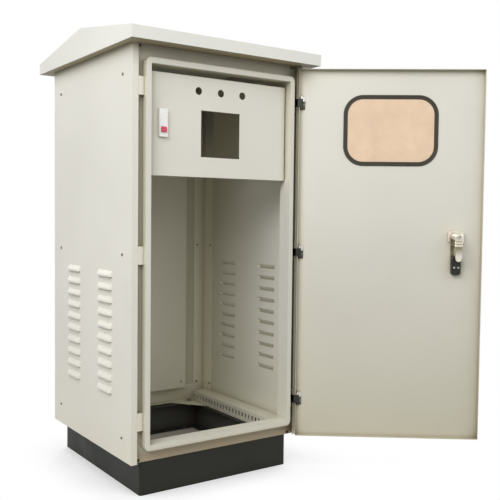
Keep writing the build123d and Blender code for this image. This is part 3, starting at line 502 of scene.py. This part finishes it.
def corners(points):
    """The lowest and the highest corner of the box around the points."""
    return (
        Vector([min(point[axis] for point in points) for axis in range(3)]),
        Vector([max(point[axis] for point in points) for axis in range(3)]),
    )


def shut_box(node):
    """The box of a door node with the door shut."""
    back = swing.inverted()
    return corners([back @ vertex.co for vertex in nodes[node].data.vertices])


def solid_boxes(node, place=Matrix.Identity(4)):
    """The box of each separate solid in a CAD node, seen from the place."""
    shell = bmesh.new()
    shell.from_mesh(nodes[node].data)
    bmesh.ops.remove_doubles(shell, verts=shell.verts, dist=weld_distance)
    back = place.inverted()
    waiting = set(shell.verts)
    boxes = []
    while waiting:
        reached = [waiting.pop()]
        for vertex in reached:
            for edge in vertex.link_edges:
                other = edge.other_vert(vertex)
                if other in waiting:
                    waiting.remove(other)
                    reached.append(other)
        boxes.append(corners([back @ vertex.co for vertex in reached]))
    shell.free()
    return boxes


# Hinge leaves: a painted glint on their tops, dark below
for name in ("hinge_leaf_lower", "hinge_leaf_middle", "hinge_leaf_upper"):
    low, high = shut_box(name)
    painted_light_bands = (high.z, low.z, leaf_glint_shares)
    finish_node(name, plated(name + "_steel", leaf_glint_grey, roughness=0.3, painted_light_bands=painted_light_bands, tint=leaf_under_glint_tint))


def add_piece(name, mesh, material, body, replaced=()):
    """A mesh of this script as a piece that rides on a body and may stand for CAD nodes."""
    piece = bpy.data.objects.new(name, mesh)
    mesh.materials.clear()
    mesh.materials.append(material)
    scene.collection.objects.link(piece)
    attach(piece, body)
    if replaced:
        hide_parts(*replaced)
    return piece


def rounded_rectangle(half_width, half_height, radius, steps):
    """Points and outward directions around an upright rectangle with round corners."""
    loop = []
    for corner, (side, height) in enumerate(((1, 1), (-1, 1), (-1, -1), (1, -1))):
        centre = Vector((side * (half_width - radius), 0, height * (half_height - radius)))
        for step in range(steps + 1):
            angle = (corner + step / steps) * pi / 2
            out = Vector((cos(angle), 0, sin(angle)))
            loop.append((centre + radius * out, out))
    return loop


def fit_window_rubber():
    """The window's rubber: a soft double lip around the pane with a filler groove on either face."""
    low, high = shut_box("window_rubber")
    middle = (low + high) / 2
    half = (high - low) / 2
    loop = rounded_rectangle(half.x, half.z, rubber_corner_radius, rubber_corner_steps)
    face = [(across * rubber_face, depth * half.y) for across, depth in rubber_profile_shares]
    profile = face + [(across, -depth) for across, depth in reversed(face)]
    shell = bmesh.new()
    rows = []
    for point, out in loop:
        row = [middle + point - out * across + Vector((0, depth, 0)) for across, depth in profile]
        rows.append([shell.verts.new(swing @ place) for place in row])
    for row, following in zip(rows, rows[1:] + rows[:1]):
        for index in range(len(profile)):
            after = (index + 1) % len(profile)
            shell.faces.new((row[index], row[after], following[after], following[index]))
    bmesh.ops.recalc_face_normals(shell, faces=shell.faces)
    for face in shell.faces:
        face.smooth = True
    mesh = bpy.data.meshes.new("window_rubber_profile")
    shell.to_mesh(mesh)
    shell.free()
    rubber = finishes["window_rubber"]
    add_piece("window_rubber_profile", mesh, rubber, "door", ["window_rubber"])


def lathe(profile, segments):
    """A closed round solid about Z from its outline of (radius, height), from the top to the bottom."""
    shell = bmesh.new()
    rows = []
    for radius, height in profile:
        count = segments if radius else 1
        turns = [2 * pi * step / count for step in range(count)]
        rows.append([shell.verts.new((radius * cos(turn), radius * sin(turn), height)) for turn in turns])
    for row, following in zip(rows, rows[1:]):
        for step in range(segments):
            ring = [
                row[step % len(row)],
                following[step % len(following)],
                following[(step + 1) % len(following)],
                row[(step + 1) % len(row)],
            ]
            shell.faces.new(list(dict.fromkeys(ring)))
    bmesh.ops.recalc_face_normals(shell, faces=shell.faces)
    return shell


def cross_screw(radius, head, shank_radius, shank):
    """A pan-head screw about Z, its head's seat at 0, with a cross recess."""
    dome = [(share * radius, height * head) for share, height in screw_dome_shares]
    shell = lathe(dome + [(shank_radius, 0), (shank_radius, -shank), (0, -shank)], screw_segments)
    blank = bpy.data.meshes.new("screw_blank")
    shell.to_mesh(blank)
    shell.free()
    tool = bmesh.new()
    for turn in (0, pi / 2):
        size = (2 * recess_reach_share * radius, recess_width_share * radius, 2 * recess_depth_share * head)
        place = Matrix.Translation((0, 0, head)) @ Matrix.Rotation(turn, 4, "Z") @ Matrix.Diagonal((*size, 1))
        bmesh.ops.create_cube(tool, size=1, matrix=place)
    cutter_mesh = bpy.data.meshes.new("screw_cutter")
    tool.to_mesh(cutter_mesh)
    tool.free()
    cutter = bpy.data.objects.new("screw_cutter", cutter_mesh)
    holder = bpy.data.objects.new("screw_blank", blank)
    for item in (cutter, holder):
        scene.collection.objects.link(item)
    cut = holder.modifiers.new("recess", "BOOLEAN")
    cut.operation = "DIFFERENCE"
    cut.solver = "EXACT"
    cut.use_self = True
    cut.object = cutter
    graph = bpy.context.evaluated_depsgraph_get()
    mesh = bpy.data.meshes.new_from_object(holder.evaluated_get(graph))
    for item in (cutter, holder):
        bpy.data.objects.remove(item)
    return mesh


def fit_screws(node, axis, head, body, material, place=Matrix.Identity(4)):
    """Screws with a cross recess in place of a node's plain ones, their heads towards the axis."""
    direction = Vector(axis)
    turn = direction.to_track_quat("Z", "Y").to_matrix().to_4x4()
    boxes = solid_boxes(node, place)
    size = boxes[0][1] - boxes[0][0]
    along = [abs(share) for share in direction].index(1)
    length = size[along]
    radius = size[(along + 1) % 3] / 2
    screw = cross_screw(radius, head, radius * shank_share, length - head)
    shell = bmesh.new()
    for order, (low, high) in enumerate(boxes):
        seat = (low + high) / 2 + direction * (length / 2 - head)
        spin = Matrix.Rotation(screw_spin * order, 4, "Z")
        copy = screw.copy()
        copy.transform(place @ Matrix.Translation(seat) @ turn @ spin)
        shell.from_mesh(copy)
        bpy.data.meshes.remove(copy)
    mesh = bpy.data.meshes.new(node + "_detail")
    shell.to_mesh(mesh)
    shell.free()
    bpy.data.meshes.remove(screw)
    add_piece(node + "_detail", mesh, material, body, [node])


def rounded_share(share):
    """A sine or cosine pushed out towards a square's side."""
    return abs(share) ** cam_squareness * (1 if share >= 0 else -1)


def fit_lock_cam():
    """The lock's cam as a cast tongue: crowned, with two ribs below the spindle and a round tip."""
    low, high = shut_box("lock_cam")
    middle = (low + high) / 2
    half_width = (high.x - low.x) / 2
    shell = bmesh.new()
    rows = []
    for along, width, thickness in cam_shares:
        row = []
        for step in range(cam_ring_steps):
            angle = 2 * pi * step / cam_ring_steps
            across = rounded_share(cos(angle)) * half_width * width
            rise = (rounded_share(sin(angle)) + 1) / 2 * (high.y - low.y) * thickness
            place = Vector((middle.x + across, low.y + rise, high.z - along * (high.z - low.z)))
            row.append(shell.verts.new(swing @ place))
        rows.append(row)
    for row, following in zip(rows, rows[1:]):
        for step in range(cam_ring_steps):
            after = (step + 1) % cam_ring_steps
            shell.faces.new((row[step], row[after], following[after], following[step]))
    for row in (rows[0], rows[-1]):
        shell.faces.new(row)
    bmesh.ops.recalc_face_normals(shell, faces=shell.faces)
    for face in shell.faces:
        face.smooth = True
    # Painted shade in the grooves between the cam's ribs
    painted_light_bands = (high.z, low.z, cam_groove_shade_shares)
    chrome = plated("cam_chrome", chrome_warm, roughness=0.16, streak=chrome_streak, painted_light_bands=painted_light_bands)
    mesh = bpy.data.meshes.new("lock_cam_cast")
    shell.to_mesh(mesh)
    shell.free()
    add_piece("lock_cam_cast", mesh, chrome, "lock_rotor", ["lock_cam"])


def soften(node, width, segments=4):
    """Slightly rounded edges on a CAD node."""
    weld = nodes[node].modifiers.new("weld", "WELD")
    weld.merge_threshold = weld_distance
    rounding = nodes[node].modifiers.new("rounding", "BEVEL")
    rounding.width = width
    rounding.segments = segments
    rounding.limit_method = "ANGLE"
    rounding.angle_limit = radians(soften_angle)
    rounding.use_clamp_overlap = True


fit_window_rubber()
fit_lock_cam()
fit_screws("side_screws_left", (-1, 0, 0), panel_head, "cabinet", panel_screw_steel)
fit_screws("side_screws_right", (1, 0, 0), panel_head, "cabinet", panel_screw_steel)
fit_screws("back_screws", (0, 1, 0), panel_head, "cabinet", panel_screw_steel)
fit_screws("hinge_screws", (0, -1, 0), hinge_head, "cabinet", finishes["zinc_steel"])
fit_screws("clamp_screws", (0, 1, 0), clamp_head, "door", finishes["zinc_steel"], swing)
for node, width in softened.items():
    soften(node, width)


def add_lamp(name, place, power, size):
    """A square lamp at the place, turned to the cabinet."""
    lamp = bpy.data.lights.new(name, "AREA")
    lamp.energy = power
    lamp.size = size
    holder = bpy.data.objects.new(name, lamp)
    holder.location = place
    aim = Vector(target_place) - Vector(place)
    holder.rotation_euler = aim.to_track_quat("-Z", "Y").to_euler()
    scene.collection.objects.link(holder)


def seen_directly(tree):
    """One for rays that show the background itself, straight, in a reflection or through glass."""
    path = tree.nodes.new("ShaderNodeLightPath")
    total = None
    for ray in ("Is Camera Ray", "Is Glossy Ray", "Is Transmission Ray"):
        if total is None:
            total = path.outputs[ray]
            continue
        higher = tree.nodes.new("ShaderNodeMath")
        higher.operation = "MAXIMUM"
        tree.links.new(total, higher.inputs[0])
        tree.links.new(path.outputs[ray], higher.inputs[1])
        total = higher.outputs["Value"]
    return total


def light_world():
    """An even sky for the light and a white background for the eye."""
    world = bpy.data.worlds.new("sky")
    world.use_nodes = True
    tree = world.node_tree
    tree.nodes.clear()
    output = tree.nodes.new("ShaderNodeOutputWorld")
    sky = tree.nodes.new("ShaderNodeBackground")
    sky.inputs["Color"].default_value = (*white, 1)
    sky.inputs["Strength"].default_value = sky_strength
    backdrop = tree.nodes.new("ShaderNodeBackground")
    backdrop.inputs["Color"].default_value = (*white, 1)
    backdrop.inputs["Strength"].default_value = 1
    choose = tree.nodes.new("ShaderNodeMixShader")
    tree.links.new(seen_directly(tree), choose.inputs["Fac"])
    tree.links.new(sky.outputs["Background"], choose.inputs[1])
    tree.links.new(backdrop.outputs["Background"], choose.inputs[2])
    tree.links.new(choose.outputs["Shader"], output.inputs["Surface"])
    scene.world = world


def lay_floor(name, half_x, half_y, height, seen):
    """A flat floor of the colour seen, shaded close to the cabinet, that throws back little light."""
    mesh = bpy.data.meshes.new(name)
    edges = [(x * half_x, y * half_y, height) for x, y in ((-1, -1), (1, -1), (1, 1), (-1, 1))]
    mesh.from_pydata(edges, [], [(0, 1, 2, 3)])
    floor = bpy.data.objects.new(name, mesh)
    scene.collection.objects.link(floor)
    material, tree, shader = new_material(name)
    shader.inputs["Base Color"].default_value = (*floor_grey, 1)
    shader.inputs["Roughness"].default_value = floor_roughness
    shader.inputs["Specular IOR Level"].default_value = floor_specular
    output = next(node for node in tree.nodes if node.type == "OUTPUT_MATERIAL")
    openness = open_sky(tree, floor_shade_reach, floor_sky_shares)
    shaded_ground = two_tone(tree, openness, scaled(seen, floor_shade_share), seen)
    glow = tree.nodes.new("ShaderNodeEmission")
    tree.links.new(shaded_ground, glow.inputs["Color"])
    glow.inputs["Strength"].default_value = 1
    mix = tree.nodes.new("ShaderNodeMixShader")
    tree.links.new(seen_directly(tree), mix.inputs["Fac"])
    tree.links.new(shader.outputs["BSDF"], mix.inputs[1])
    tree.links.new(glow.outputs["Emission"], mix.inputs[2])
    tree.links.new(mix.outputs["Shader"], output.inputs["Surface"])
    mesh.materials.append(material)


def place_camera():
    """The camera at the photo's place, with its angle of view."""
    forward = Vector((sin(camera_yaw), cos(camera_yaw), 0))
    ahead = cos(camera_pitch) * forward + Vector((0, 0, sin(camera_pitch)))
    level = Vector((cos(camera_yaw), -sin(camera_yaw), 0))
    above = level.cross(ahead)
    across = cos(camera_roll) * level + sin(camera_roll) * above
    upward = cos(camera_roll) * above - sin(camera_roll) * level
    lens = bpy.data.cameras.new("camera")
    lens.sensor_width = sensor_mm
    lens.lens = focal_pixels / photo_pixels * sensor_mm
    holder = bpy.data.objects.new("camera", lens)
    turn = Matrix((across, upward, -ahead)).transposed().to_4x4()
    holder.matrix_world = Matrix.Translation(camera_place) @ turn
    scene.collection.objects.link(holder)
    scene.camera = holder


plinth_high = corners([vertex.co for vertex in nodes["plinth"].data.vertices])[1]
light_world()
add_lamp("key", key_place, key_power, key_size)
add_lamp("fill", fill_place, fill_power, fill_size)
add_lamp("rear", rear_place, rear_power, rear_size)
lay_floor("floor", floor_reach, floor_reach, 0, white)
# Painted shade under the plinth: a dark brown ground patch to the eye
lay_floor("shaded_ground", plinth_high.x - ground_inset, plinth_high.y - ground_inset, ground_height, ground_shade_brown)
place_camera()
scene.view_settings.view_transform = "Standard"
